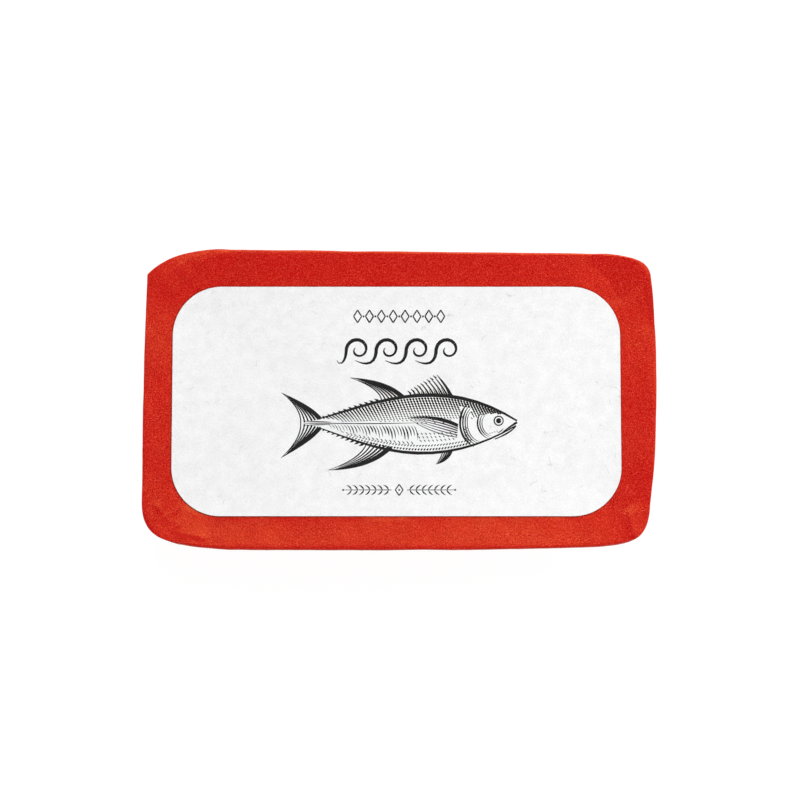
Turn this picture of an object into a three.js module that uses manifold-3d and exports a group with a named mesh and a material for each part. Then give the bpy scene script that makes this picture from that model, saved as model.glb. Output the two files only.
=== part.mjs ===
// A flat oblong fish tin wrapped in paper like a parcel, with a paper label on its top.
// Millimetres, +Z up. X runs along the tin and Y across it, from its near side to its far side.
// The origin is under the middle of the tin, on the surface that it rests on.
// The tin can't be seen through its paper, so tin and wrapping are one solid.
import * as THREE from "three";
import { mergeVertices } from "three/addons/utils/BufferGeometryUtils.js";
import Module from "manifold-3d";

const wasm = await Module();
wasm.setup();

// The whole parcel
const HEIGHT = 24; // from the lapped paper underneath to the paper over the lid's rim
const LAYER = 0.4; // how far a folded layer of paper stands proud of the one below it

// The label, a rounded rectangle a little left of the middle, glued into the dish of the lid
const LABEL = { length: 92.7, width: 47.4, corner: 10.1, x: -0.56, y: -0.3 };
const LABEL_TAPER = 0.00023; // how much narrower it gets for each millimetre towards its far side
const LABEL_BOTTOM = 0.1; // above the paper
const LABEL_TOP = 0.32;

// The paper's outer edge seen from above: four bowed sides and four corners of different shape
const RIGHT_NEAR = [51.9, -22.3];
const RIGHT_FAR = [52.05, 25.0];
const FAR_RIGHT = [43.0, 30.2];
const FAR_LEFT = [-36.0, 31.05];
const LEFT_FAR = [-52.0, 25.9]; // a sharp tip, where the fold over the left end starts
const LEFT_NEAR = [-53.1, -21.0];
const NEAR_LEFT = [-35.0, -31.0];
const NEAR_RIGHT = [40.0, -30.5];

// The tin inside, as the paper shows it: the line of its lid's rim, and its narrower foot
const RIM = { length: 105.2, width: 61, corner: 9.5, farLeftCorner: 16 };
const FOOT = { length: 103.2, width: 59, corner: 14 };
const FOOT_ROUND = 2.5;
const EDGE_ROUND = 0.6; // the paper's turn at its outer edge
const CREST_ROUND = 0.5; // softness of the crest over the rim
const OUTER_SLOPE = 0.2; // fall of the paper outside the rim, as at the corners
const DISH_DEPTH = 1.7; // how far the paper sags inside the rim
const DISH_REACH = 11; // how soon it gets there
const WAIST = 0.35; // how far the taut paper draws in below the rim

// The folds. A top flap hangs between two places in Y on the upper edge of its end.
const TOP_FLAP = { left: [-20.5, 26], right: [-22, 24.8], shoulder: 21.8, lowest: 4.5 };
const BOTTOM_FLAP = { half: 21, lowest: 0.6, highest: 15 };
const SEAM = { near: -5.5, far: 9, length: 98 }; // where the sheet laps over itself, along the base
const END_DEPTH = 6; // how far in from an end a flap's cutter reaches
const CLEAR = 5; // how far the cutters run past the tin

// How finely the skin is divided
const SIDE_STEPS = 14;
const CORNER_STEPS = 10;
const ROUND_STEPS = 4;
const DISH_SHARES = [0.3, 0.6, 0.85, 1]; // of the way from the label's middle to its edge
const TOP_SHARES = [0.25, 0.5, 0.75]; // of the way from the label's edge to the turn
const WALL_SHARES = [0.15, 0.4, 0.7]; // of the way from the outline to the foot

function toVector(point) {
  return new THREE.Vector2(point[0], point[1]);
}

function quadratic(from, control, to) {
  return new THREE.QuadraticBezierCurve(...[from, control, to].map(toVector));
}

function cubic(from, first, second, to) {
  return new THREE.CubicBezierCurve(...[from, first, second, to].map(toVector));
}

// Eight curves, anticlockwise from the right side's near end: side, corner, side, corner and so on.
function paperOutline() {
  return [
    cubic(RIGHT_NEAR, [53.5, -11], [53.7, 13], RIGHT_FAR),
    cubic(RIGHT_FAR, [51.75, 27.8], [50.5, 29.4], FAR_RIGHT),
    quadratic(FAR_RIGHT, [4, 30.6], FAR_LEFT),
    quadratic(FAR_LEFT, [-46.7, 31.2], LEFT_FAR),
    quadratic(LEFT_FAR, [-52.95, 3], LEFT_NEAR),
    cubic(LEFT_NEAR, [-53.1, -28.6], [-48.9, -30.2], NEAR_LEFT),
    quadratic(NEAR_LEFT, [14, -31.4], NEAR_RIGHT),
    cubic(NEAR_RIGHT, [48.2, -30], [51.4, -28.9], RIGHT_NEAR),
  ];
}

// The same eight stretches of a rounded rectangle.
function roundedRectangle({ length, width, corner, x = 0, y = 0 }) {
  const right = length / 2;
  const far = width / 2;
  const innerX = right - corner;
  const innerY = far - corner;
  const side = (ax, ay, bx, by) =>
    new THREE.LineCurve(new THREE.Vector2(x + ax, y + ay), new THREE.Vector2(x + bx, y + by));
  const turn = (signX, signY, start) =>
    new THREE.EllipseCurve(
      x + signX * innerX, y + signY * innerY, corner, corner, start, start + Math.PI / 2,
    );
  return [
    side(right, -innerY, right, innerY),
    turn(1, 1, 0),
    side(innerX, far, -innerX, far),
    turn(-1, 1, Math.PI / 2),
    side(-right, innerY, -right, -innerY),
    turn(-1, -1, Math.PI),
    side(-innerX, -far, innerX, -far),
    turn(1, -1, (3 * Math.PI) / 2),
  ];
}

// Points round a loop of eight curves, so many to a side and so many to a corner.
function sampled(curves) {
  return curves.flatMap((curve, index) =>
    curve.getPoints(index % 2 ? CORNER_STEPS : SIDE_STEPS).slice(0, -1),
  );
}

// The loop moved outwards by a distance, or inwards by a negative one.
function offset(loop, distance) {
  const count = loop.length;
  return loop.map((point, index) => {
    const before = loop[(index + count - 1) % count];
    const along = loop[(index + 1) % count].clone().sub(before).normalize();
    return new THREE.Vector2(point.x + along.y * distance, point.y - along.x * distance);
  });
}

function between(first, second, share) {
  return first.map((point, index) => point.clone().lerp(second[index], share));
}

function centred(loop) {
  const middle = new THREE.Box2().setFromPoints(loop).getCenter(new THREE.Vector2());
  return loop.map((point) => point.clone().sub(middle));
}

// How far a point lies outside the rim, negative inside. The rim is a rounded rectangle.
function outsideRim(point) {
  const corner = point.x < 0 && point.y > 0 ? RIM.farLeftCorner : RIM.corner;
  const x = Math.abs(point.x) - RIM.length / 2 + corner;
  const y = Math.abs(point.y) - RIM.width / 2 + corner;
  return Math.hypot(Math.max(x, 0), Math.max(y, 0)) + Math.min(Math.max(x, y), 0) - corner;
}

// The paper's upper face: highest over the rim, sagging inside it, sloping down outside it.
function paperHeight(point) {
  const past = outsideRim(point);
  const away = Math.hypot(past, CREST_ROUND) - CREST_ROUND;
  const drop = past > 0 ? OUTER_SLOPE * away : DISH_DEPTH * (1 - Math.exp(-away / DISH_REACH));
  return HEIGHT - drop;
}

// The loop as a ring in space. Its height is a number, a list or a rule.
function ring(loop, height) {
  const heightAt = {
    number: () => height,
    function: (point) => height(point),
    object: (point, index) => height[index],
  }[typeof height];
  return loop.map((point, index) => new THREE.Vector3(point.x, point.y, heightAt(point, index)));
}

// A closed skin over rings of equal count, from the top one to the bottom one.
function loft(rings) {
  const count = rings[0].length;
  const middle = (points) =>
    points.reduce((sum, point) => sum.add(point), new THREE.Vector3()).divideScalar(count);
  const points = [...rings.flat(), middle(rings[0]), middle(rings[rings.length - 1])];
  const topCentre = points.length - 2;
  const baseCentre = points.length - 1;
  const lastRing = (rings.length - 1) * count;
  const faces = [];
  for (let i = 0; i < count; i++) {
    const next = (i + 1) % count;
    faces.push(topCentre, i, next);
    for (let r = 0; r < lastRing; r += count) {
      faces.push(r + i, r + count + i, r + count + next, r + i, r + count + next, r + next);
    }
    faces.push(baseCentre, lastRing + next, lastRing + i);
  }
  return new THREE.BufferGeometry().setFromPoints(points).setIndex(faces);
}

// Loops from the label's middle to its edge, which narrows evenly towards the far side.
function dishLoops() {
  const middle = new THREE.Vector2(LABEL.x, LABEL.y);
  const edge = sampled(roundedRectangle(LABEL)).map((point) => {
    const share = 1 - LABEL_TAPER * (point.y - middle.y);
    return new THREE.Vector2(middle.x + (point.x - middle.x) * share, point.y);
  });
  return DISH_SHARES.map((share) => edge.map((point) => middle.clone().lerp(point, share)));
}

// The paper over the tin, with its walls and its base moved outwards for the layers of a fold.
function wrapping(onWall, onBase) {
  const outline = centred(sampled(paperOutline()));
  const turn = offset(outline, -EDGE_ROUND);
  const turnHeight = turn.map(paperHeight);
  const dish = dishLoops();
  const rings = dish.map((loop) => ring(loop, paperHeight));
  for (const share of TOP_SHARES) {
    rings.push(ring(between(dish[dish.length - 1], turn, share), paperHeight));
  }

  for (let step = 0; step <= ROUND_STEPS; step++) {
    const angle = (step / ROUND_STEPS) * (Math.PI / 2);
    const height = turnHeight.map((top) => top - EDGE_ROUND * (1 - Math.cos(angle)));
    rings.push(ring(offset(outline, -EDGE_ROUND * (1 - Math.sin(angle))), height));
  }

  const foot = sampled(roundedRectangle(FOOT));
  for (const share of WALL_SHARES) {
    const wall = offset(between(outline, foot, share), onWall - WAIST * Math.sin(share * Math.PI));
    const height = turnHeight.map((top) =>
      THREE.MathUtils.lerp(top - EDGE_ROUND, LAYER + FOOT_ROUND, share),
    );
    rings.push(ring(wall, height));
  }

  for (let step = 0; step <= ROUND_STEPS; step++) {
    const angle = (step / ROUND_STEPS) * (Math.PI / 2);
    const height = LAYER + FOOT_ROUND - (FOOT_ROUND + onBase) * Math.sin(angle);
    rings.push(ring(offset(foot, -FOOT_ROUND * (1 - Math.cos(angle))), height));
  }
  return solidOf(loft(rings));
}

// A three.js geometry as a solid for joining and cutting.
function solidOf(geometry) {
  const bare = geometry.clone();
  bare.deleteAttribute("normal");
  bare.deleteAttribute("uv");
  const merged = mergeVertices(bare, 1e-4);
  return new wasm.Manifold(
    new wasm.Mesh({
      numProp: 3,
      vertProperties: merged.attributes.position.array,
      triVerts: new Uint32Array(merged.index.array),
    }),
  );
}

function geometryOf(solid) {
  const mesh = solid.getMesh();
  const geometry = new THREE.BufferGeometry();
  geometry.setAttribute("position", new THREE.BufferAttribute(mesh.vertProperties, 3));
  geometry.setIndex(new THREE.BufferAttribute(mesh.triVerts, 1));
  geometry.computeVertexNormals();
  return geometry;
}

// A straight block over an outline, standing on the XY plane.
function block(points, depth) {
  const shape = new THREE.Shape(points.map(toVector));
  return new THREE.ExtrudeGeometry(shape, { depth, bevelEnabled: false });
}

// A block that holds all of one end wall inside an outline given in Y and Z. Side is 1 or -1 in X.
function endBlock(points, side) {
  const depth = END_DEPTH + CLEAR;
  const inner = FOOT.length / 2 - END_DEPTH;
  const geometry = block(points, depth);
  geometry.applyMatrix4(
    new THREE.Matrix4().makeBasis(
      new THREE.Vector3(0, 1, 0), new THREE.Vector3(0, 0, 1), new THREE.Vector3(1, 0, 0),
    ),
  );
  geometry.translate(side > 0 ? inner : -inner - depth, 0, 0);
  return solidOf(geometry);
}

// The flap that comes down over an end, narrowing at 45 degrees from the two corners of the lid.
function topFlap(side) {
  const { shoulder, lowest } = TOP_FLAP;
  const [near, far] = side > 0 ? TOP_FLAP.right : TOP_FLAP.left;
  const inset = shoulder - lowest;
  const above = HEIGHT + CLEAR;
  return endBlock(
    [
      [near, above], [near, shoulder], [near + inset, lowest],
      [far - inset, lowest], [far, shoulder], [far, above],
    ],
    side,
  );
}

// The flap that comes up over an end from the base, under the top one.
function bottomFlap(side) {
  const { half, lowest, highest } = BOTTOM_FLAP;
  const tip = half - (highest - lowest);
  return endBlock([[-half, lowest], [half, lowest], [tip, highest], [-tip, highest]], side);
}

// The strip along the base where the sheet's two edges lap.
function seam() {
  const half = SEAM.length / 2;
  const geometry = block(
    [[-half, SEAM.near], [half, SEAM.near], [half, SEAM.far], [-half, SEAM.far]], 2 * CLEAR,
  );
  geometry.translate(0, 0, -CLEAR);
  return solidOf(geometry);
}

function wrappedTin() {
  const lower = bottomFlap(1).add(bottomFlap(-1)).intersect(wrapping(LAYER / 2, 0));
  const upper = topFlap(1).add(topFlap(-1)).intersect(wrapping(LAYER, 0));
  const lapped = seam().intersect(wrapping(0, LAYER));
  const paper = new THREE.MeshStandardMaterial({ color: 0xcb2a1e, roughness: 0.5, metalness: 0.1 });
  const mesh = new THREE.Mesh(
    geometryOf(wrapping(0, 0).add(lower).add(upper).add(lapped)), paper,
  );
  mesh.name = "wrapped_tin";
  return mesh;
}

// A thin sheet that lies in the dish, from its upper face out to the edge and back underneath.
function label() {
  const above = (rise) => (point) => paperHeight(point) + rise;
  const loops = dishLoops();
  const upper = loops.map((loop) => ring(loop, above(LABEL_TOP)));
  const lower = loops.map((loop) => ring(loop, above(LABEL_BOTTOM))).reverse();
  const paper = new THREE.MeshStandardMaterial({ color: 0xf5f5f3, roughness: 0.85, metalness: 0 });
  const geometry = loft([...upper, ...lower]);
  geometry.computeVertexNormals();
  const mesh = new THREE.Mesh(geometry, paper);
  mesh.name = "label";
  return mesh;
}

const parcel = new THREE.Group();
parcel.add(wrappedTin(), label());

export default parcel;
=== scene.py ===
"""A fish tin wrapped in red pearl paper, with a printed paper label.

Shapes are worked out in millimetres, in the frame's own axes, and go into their meshes in metres.
The paper is one closed skin over the tin. Its folded ends, the lap underneath, the label and the
strokes of the print are thin closed sheets and ribbons that lie on it.
"""

import math

import bpy
import numpy as np
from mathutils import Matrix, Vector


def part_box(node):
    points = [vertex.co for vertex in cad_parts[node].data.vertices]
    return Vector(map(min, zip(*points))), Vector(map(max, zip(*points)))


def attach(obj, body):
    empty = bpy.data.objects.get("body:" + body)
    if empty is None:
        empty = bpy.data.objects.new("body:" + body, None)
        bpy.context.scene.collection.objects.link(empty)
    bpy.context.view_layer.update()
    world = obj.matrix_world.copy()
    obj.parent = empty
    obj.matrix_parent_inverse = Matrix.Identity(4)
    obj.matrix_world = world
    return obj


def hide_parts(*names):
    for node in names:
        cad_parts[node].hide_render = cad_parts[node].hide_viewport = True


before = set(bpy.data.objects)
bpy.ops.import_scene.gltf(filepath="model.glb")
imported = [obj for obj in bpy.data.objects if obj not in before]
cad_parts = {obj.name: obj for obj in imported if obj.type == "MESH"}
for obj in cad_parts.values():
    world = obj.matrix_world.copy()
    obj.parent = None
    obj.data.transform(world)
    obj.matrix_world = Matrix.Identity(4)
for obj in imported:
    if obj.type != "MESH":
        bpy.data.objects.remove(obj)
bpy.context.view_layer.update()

MM = 0.001
BODY = "root"
SHARP_EDGE = math.radians(38)

# The parcel's main sizes, the same as in the CAD
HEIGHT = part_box("wrapped_tin")[1].z / MM
LAYER = 0.4
LABEL = {"length": 92.7, "width": 47.4, "corner": 10.1, "middle": (-0.56, -0.3)}
LABEL_TAPER = 0.00023
LABEL_BOTTOM = 0.1
LABEL_TOP = 0.32
RIGHT_NEAR = (51.9, -22.3)
RIGHT_FAR = (52.05, 25.0)
FAR_RIGHT = (43.0, 30.2)
FAR_LEFT = (-36.0, 31.05)
LEFT_FAR = (-52.0, 25.9)
LEFT_NEAR = (-53.1, -21.0)
NEAR_LEFT = (-35.0, -31.0)
NEAR_RIGHT = (40.0, -30.5)
OUTLINE = [
    (RIGHT_NEAR, (53.5, -11), (53.7, 13), RIGHT_FAR),
    (RIGHT_FAR, (51.75, 27.8), (50.5, 29.4), FAR_RIGHT),
    (FAR_RIGHT, (4, 30.6), FAR_LEFT),
    (FAR_LEFT, (-46.7, 31.2), LEFT_FAR),
    (LEFT_FAR, (-52.95, 3), LEFT_NEAR),
    (LEFT_NEAR, (-53.1, -28.6), (-48.9, -30.2), NEAR_LEFT),
    (NEAR_LEFT, (14, -31.4), NEAR_RIGHT),
    (NEAR_RIGHT, (48.2, -30), (51.4, -28.9), RIGHT_NEAR),
]
RIM = {"length": 105.2, "width": 61.0}
RIM_CORNER = 9.5
RIM_CORNER_FAR_LEFT = 16.0
FOOT = {"length": 103.2, "width": 59.0, "corner": 14.0}
FOOT_ROUND = 2.5
EDGE_ROUND = 0.6
CREST_ROUND = 0.5
OUTER_SLOPE = 0.2
DISH_DEPTH = 1.7
DISH_REACH = 11.0
WAIST = 0.35

# Finer than the CAD: the turn at the edge is tighter at the two ends and along the far side. Each
# change sets in between two places, in X out from the middle or in Y.
END_ROUND = 0.16
END_TURN = (44, 51)
FAR_ROUND = 0.35
FAR_TURN = (20, 29)

# The crest over the rim lies a little under the CAD's top, which leaves room for the swells
CREST_HEIGHT = HEIGHT - 0.04

# The paper's extra slopes past the label at three corners: rise for each millimetre out from the
# label, and the places in X and in Y between which it sets in
CORNER_TILTS = [
    (0.052, (38, 47), (14, 23)),
    (-0.076, (34, 44), (-12, -20)),
    (0.03, (-36, -45), (-14, -21)),
]

# Slow ups and downs of the paper: random seed, shortest and longest wave, and height
TOP_SWELL = (11, 12, 40, 0.035)
SKIN_SWELL = (23, 6, 16, 0.028)
SKIN_RIPPLE = (29, 2.2, 5, 0.008)
WALL_SWELL = (31, 9, 22, 0.05)
BASE_SWELL = (37, 7, 18, 0.015)
LAP_EDGE_SWELL = (41, 30, 80, 0.12)
LAP_RIPPLE = (43, 8, 22, 0.012)

# Folds and swells set in over this much out from the label's edge, and between these heights over
# the foot. The wall has swells of its own, which set in between two heights and are drawn upright.
LABEL_GRIP = 1.3
FOOT_CALM = (1.0, 3.0)
WALL_TOP = (22.5, 16)
WALL_STRETCH = (1, 1, 0.35)

# How softly a fold turns at its crest, and how far before and past its ends it fades
CREASE_ROUND = 0.15
CREASE_FADE = 1.5

# The tin's base shows through the paper: it stands up a little, with a bead run round in it
BASE_TURN = (0.9, 0.45)
BASE_PLATE = 0.05
BEAD = {"inset": 13, "corner": 9, "height": 0.12, "width": 1.1}

# How finely the skin is divided
SIDE_STEPS = 110
CORNER_STEPS = 90
DISH_ROWS = 7
DISH_START = 0.12
BAND_ROWS = 44
ROUND_ROWS = 11
WALL_ROWS = 30
FOOT_ROWS = 8
BASE_ROWS = 12
BASE_END = 0.08

# The folded ends, and the table of the end walls that their flaps are laid on
PAPER = 0.14
TOP_FLAP = {"left": (-20.5, 26.0), "right": (-22.0, 24.8), "shoulder": 21.8, "lowest": 4.5}
TOP_FLAP_START = 22.7
BOTTOM_FLAP = {"half": 21.0, "lowest": 1.3, "highest": 15.0}
FLAP_ROWS = 50
FLAP_COLUMNS = 60
WALL_Y = np.linspace(-26, 26, 131)
WALL_Z = np.linspace(0.6, 23.2, 120)

# How far the flaps stand off the wall: the start of each lies this deep inside the paper, the rest
# this far off it, more at the free edges, and more again at the upper flap's lower edge
HIDDEN = PAPER + 0.06
UPPER_STAND = 0.24
LOWER_STAND = 0.03
SPRING = 0.16
SPRING_FALL = 14
LOW_EDGE_SPRING = 0.22

# The left upper flap's near shoulder stands proud, between these places in Y, more to its far end
PROUD_NEAR = (-21.0, -20.4)
PROUD_FAR = (-14.6, -16.2)
PROUD_RISE = (-20.4, -16.4)
PROUD_LEAST = 0.3
PROUD_MORE = 0.4

# The lap along the base: its sides in Y, half its length, how far from its ends it merges with the
# base, how deep it then lies in it, how far it is over the floor, and its thickness
LAP = {"near": -5.5, "far": 9.0, "half": 49.0, "merge": 5}
LAP_HIDDEN = 0.1
LAP_FLOOR = 0.04
LAP_THICKNESS = 0.3
LAP_STEPS = (160, 40)

# Painted contact shadow: the paper's colour is darkened along the label's edge, over this width
LABEL_SHADOW_WIDTH = 0.2


def bezier(points, steps):
    """Points along a Bezier curve, without its last: each control point times its Bernstein share."""
    points = np.array(points, float)
    degree = len(points) - 1
    t = np.arange(steps)[:, None] / steps
    shares = (math.comb(degree, k) * t**k * (1 - t) ** (degree - k) for k in range(degree + 1))
    return sum(share * point for share, point in zip(shares, points))


def whole_bezier(controls, steps=200):
    """Points along a Bezier curve, with its last."""
    return np.concatenate([bezier(controls, steps), [controls[-1]]])


def paper_outline():
    """The paper's edge from above: eight curves in turn, moved so that their box is centred."""
    steps = (SIDE_STEPS, CORNER_STEPS)
    loop = np.concatenate([bezier(curve, steps[k % 2]) for k, curve in enumerate(OUTLINE)])
    return loop - (loop.min(0) + loop.max(0)) / 2


def rounded_rectangle(length, width, corner, middle=(0, 0)):
    """The same eight stretches of a rounded rectangle: straight sides, and quarter circles round
    the four points that lie the corner's radius in from both sides."""
    centres = [
        (x * (length / 2 - corner), y * (width / 2 - corner))
        for x, y in ((1, 1), (-1, 1), (-1, -1), (1, -1))
    ]

    def on_arc(quarter, share):
        angle = (quarter + np.atleast_1d(share)) * math.pi / 2
        return np.array(centres[quarter]) + corner * np.stack([np.cos(angle), np.sin(angle)], 1)

    stretches = []
    for quarter in range(4):
        start, end = on_arc((quarter - 1) % 4, 1.0), on_arc(quarter, 0.0)
        t = np.arange(SIDE_STEPS)[:, None] / SIDE_STEPS
        stretches.append(start + (end - start) * t)
        stretches.append(on_arc(quarter, np.arange(CORNER_STEPS) / CORNER_STEPS))
    return np.concatenate(stretches) + np.array(middle)


def offset(loop, distance):
    """The loop moved out by a distance along its normals, which are averaged with their neighbours
    again and again, so that a sharp tip doesn't fold over itself."""
    along = np.roll(loop, -1, 0) - np.roll(loop, 1, 0)
    out = np.stack([along[:, 1], -along[:, 0]], 1)
    out /= np.linalg.norm(out, axis=1, keepdims=True)
    for _ in range(40):
        out = (np.roll(out, 1, 0) + 2 * out + np.roll(out, -1, 0)) / 4
    out /= np.linalg.norm(out, axis=1, keepdims=True)
    return loop + out * np.reshape(distance, (-1, 1))


def outside(x, y, length, width, corner, middle=(0, 0)):
    """How far a point lies outside a rounded rectangle, negative inside."""
    dx = np.abs(x - middle[0]) - length / 2 + corner
    dy = np.abs(y - middle[1]) - width / 2 + corner
    beyond = np.hypot(np.maximum(dx, 0), np.maximum(dy, 0))
    return beyond + np.minimum(np.maximum(dx, dy), 0) - corner


def label_edge():
    """The label's edge: a rounded rectangle that narrows evenly towards its far side."""
    loop = rounded_rectangle(**LABEL)
    x, y = (loop - np.array(LABEL["middle"])).T
    return np.column_stack([x * (1 - LABEL_TAPER * y), y]) + np.array(LABEL["middle"])


def outside_label(x, y):
    """How far a point lies outside the label, negative inside: the taper is taken off its X first."""
    middle_x, middle_y = LABEL["middle"]
    even_x = middle_x + (x - middle_x) / (1 - LABEL_TAPER * (y - middle_y))
    return outside(even_x, y, **LABEL)


def smooth(low, high, value):
    """0 below low, 1 above high, and a smooth step between: three squares less two cubes."""
    t = np.clip((value - low) / (high - low), 0, 1)
    return t * t * (3 - 2 * t)


def wander(points, seed, shortest, longest, height, waves=14):
    """Slow ups and downs: a sum of plane sine waves with random directions, phases and lengths."""
    rng = np.random.default_rng(seed)
    total = np.zeros(points.shape[:-1])
    for _ in range(waves):
        direction = rng.normal(size=points.shape[-1])
        direction /= np.linalg.norm(direction)
        length = rng.uniform(shortest, longest)
        total += np.sin(points @ direction * 2 * math.pi / length + rng.uniform(0, 2 * math.pi))
    return total * height / math.sqrt(waves / 2)


def paper_height(x, y):
    """The paper's upper face. It is highest over the rim, sags inside it by an exponential curve,
    slopes down outside it, and has slow ups and downs. At three corners a slope of its own is added
    or taken off, which starts at the label's edge."""
    corner = np.where((x < 0) & (y > 0), RIM_CORNER_FAR_LEFT, RIM_CORNER)
    past = outside(x, y, corner=corner, **RIM)
    away = np.hypot(past, CREST_ROUND) - CREST_ROUND
    drop = np.where(past > 0, OUTER_SLOPE * away, DISH_DEPTH * (1 - np.exp(-away / DISH_REACH)))
    place = np.stack([x, y], -1)
    slow = wander(place, *TOP_SWELL)
    beyond = np.maximum(outside_label(x, y), 0)
    tilt = sum(
        slope * smooth(*x_reach, x) * smooth(*y_reach, y)
        for slope, x_reach, y_reach in CORNER_TILTS
    )
    return CREST_HEIGHT - drop + slow + tilt * beyond


def normals_of(grid):
    """Unit normals of a grid that closes round: its step down the rows crossed with its step along."""
    along = np.roll(grid, -1, 1) - np.roll(grid, 1, 1)
    down = np.gradient(grid, axis=0)
    normal = np.cross(down, along)
    return normal / np.maximum(np.linalg.norm(normal, axis=2, keepdims=True), 1e-9)


def crease(points, normals, start, end, height, steep, gentle):
    """A fold's height at each point: it falls off exponentially from the line between two ends,
    soon on the steep side, which is the right of the way from start to end, and slowly on the
    other, and fades at both ends. Ends given by X and Y alone lie on the paper's upper face."""
    ends = []
    for end_point in (start, end):
        place = np.array(end_point, float)
        if len(place) == 2:
            place = np.append(place, paper_height(place[0], place[1]))
        ends.append(place)
    line = ends[1] - ends[0]
    length = np.linalg.norm(line)
    line /= length
    from_start = points - ends[0]
    run = from_start @ line
    nearest = np.clip(run, 0, length)
    away = np.linalg.norm(from_start - nearest[..., None] * line, axis=-1)
    left = (np.cross(line, from_start) * normals).sum(-1) > 0
    width = np.where(left, gentle, steep)
    soft = np.sqrt(away**2 + CREASE_ROUND**2) - CREASE_ROUND
    fade = min(CREASE_FADE, length / 2)
    along = smooth(-fade, fade, run) * smooth(-fade, fade, length - run)
    return height * np.exp(-soft / width) * along


# Folds of the paper round its top, in X and Y: start, end, height, steep width, gentle width
TOP_CREASES = [
    ((-47.6, 21.8), (-43.2, 26.2), 0.3, 1.3, 3.2),
    ((-43.6, 25.6), (-41.4, 28.6), 0.22, 1.2, 3.2),
    ((-42.0, 28.2), (-36.0, 30.4), 0.18, 1.2, 1.4),
    ((38.2, 28.9), (42.4, 25.9), -0.16, 1.4, 3.6),
    ((42.0, 26.2), (46.2, 20.0), -0.2, 1.6, 4.2),
    ((43.4, 25.8), (41.6, 27.2), 0.05, 0.12, 0.5),
    ((51.8, 14.5), (50.0, 25.0), -0.12, 1.0, 1.0),
    ((-45.3, -22.3), (-49.8, -25.0), 0.07, 0.6, 0.5),
    ((-44.4, -24.6), (-47.6, -28.2), 0.06, 0.9, 0.5),
    ((-50.6, -21.4), (-48.8, -23.4), 0.16, 0.7, 1.4),
    ((-48.4, -24.4), (-45.2, -26.0), 0.08, 1.0, 1.4),
    ((-46.2, -27.2), (-39.8, -28.5), 0.16, 0.8, 3.2),
    ((46.4, -22.9), (50.3, -19.8), -0.05, 0.5, 1.6),
    ((47.4, -22.9), (48.9, -28.9), 0.27, 0.75, 3.6),
]

# Folds of the walls, in X, Y and Z. Pleats of the gathered corners lean in under the end flaps.
WALL_CREASES = [
    ((51.6, -25.4, 21.0), (51.4, -16.5, 4.0), 0.16, 0.3, 1.5),
    ((51.0, -26.9, 20.0), (51.0, -20.5, 4.5), 0.1, 0.3, 1.2),
    ((51.4, 27.2, 21.0), (51.4, 17.0, 4.0), -0.14, 0.35, 1.4),
    ((49.9, 28.6, 20.0), (50.8, 21.5, 5.0), 0.1, 1.0, 0.3),
    ((-52.0, 25.6, 21.5), (-51.5, 16.5, 4.0), 0.18, 0.3, 1.6),
    ((-50.8, 26.6, 20.5), (-51.0, 21.0, 4.0), 0.12, 0.3, 1.2),
    ((-52.6, -24.0, 21.0), (-51.5, -16.0, 4.0), -0.14, 0.3, 1.5),
    ((-50.5, -27.6, 20.0), (-50.8, -20.8, 4.5), 0.1, 0.3, 1.0),
    ((46.0, 29.6, 20.5), (42.0, 29.8, 7.0), 0.08, 0.5, 1.2),
    ((-46.0, 29.4, 21.5), (-41.0, 29.8, 6.0), 0.1, 0.5, 1.4),
    ((-46.5, -29.2, 20.0), (-41.0, -29.6, 6.0), 0.08, 0.5, 1.4),
    ((46.5, -29.0, 20.5), (43.0, -29.6, 8.0), 0.08, 0.5, 1.2),
]


def wrap_rows():
    """The skin's rows of points, from the middle of the top to the middle of the base. They go from
    the label's shape out to the turn, round it, down the wall to the foot, and in under it."""
    outline = paper_outline()
    bend = EDGE_ROUND + (FAR_ROUND - EDGE_ROUND) * smooth(*FAR_TURN, outline[:, 1])
    bend += (END_ROUND - bend) * smooth(*END_TURN, np.abs(outline[:, 0]))
    turn = offset(outline, -bend)
    turn_height = paper_height(turn[:, 0], turn[:, 1])
    edge = label_edge()
    middle = np.array(LABEL["middle"])
    foot = rounded_rectangle(**FOOT)
    rows = []

    def add(loop, height):
        rows.append(np.column_stack([loop, np.broadcast_to(height, len(loop))]))

    for share in np.linspace(DISH_START, 1, DISH_ROWS):
        loop = middle + (edge - middle) * share
        add(loop, paper_height(loop[:, 0], loop[:, 1]))
    for share in np.arange(1, BAND_ROWS) / BAND_ROWS:
        loop = edge + (turn - edge) * share
        add(loop, paper_height(loop[:, 0], loop[:, 1]))
    for angle in np.linspace(0, math.pi / 2, ROUND_ROWS):
        loop = offset(outline, -bend * (1 - math.sin(angle)))
        add(loop, turn_height - bend * (1 - math.cos(angle)))
    for share in np.arange(1, WALL_ROWS) / WALL_ROWS:
        loop = offset(outline + (foot - outline) * share, -WAIST * math.sin(share * math.pi))
        top = turn_height - bend
        add(loop, top + (LAYER + FOOT_ROUND - top) * share)
    for angle in np.linspace(0, math.pi / 2, FOOT_ROWS):
        loop = offset(foot, -FOOT_ROUND * (1 - math.cos(angle)))
        add(loop, LAYER + FOOT_ROUND * (1 - math.sin(angle)))
    last = rows[-1][:, :2]
    for share in np.linspace(1, BASE_END, BASE_ROWS)[1:]:
        add(last * share, LAYER)
    return np.array(rows)


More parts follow.
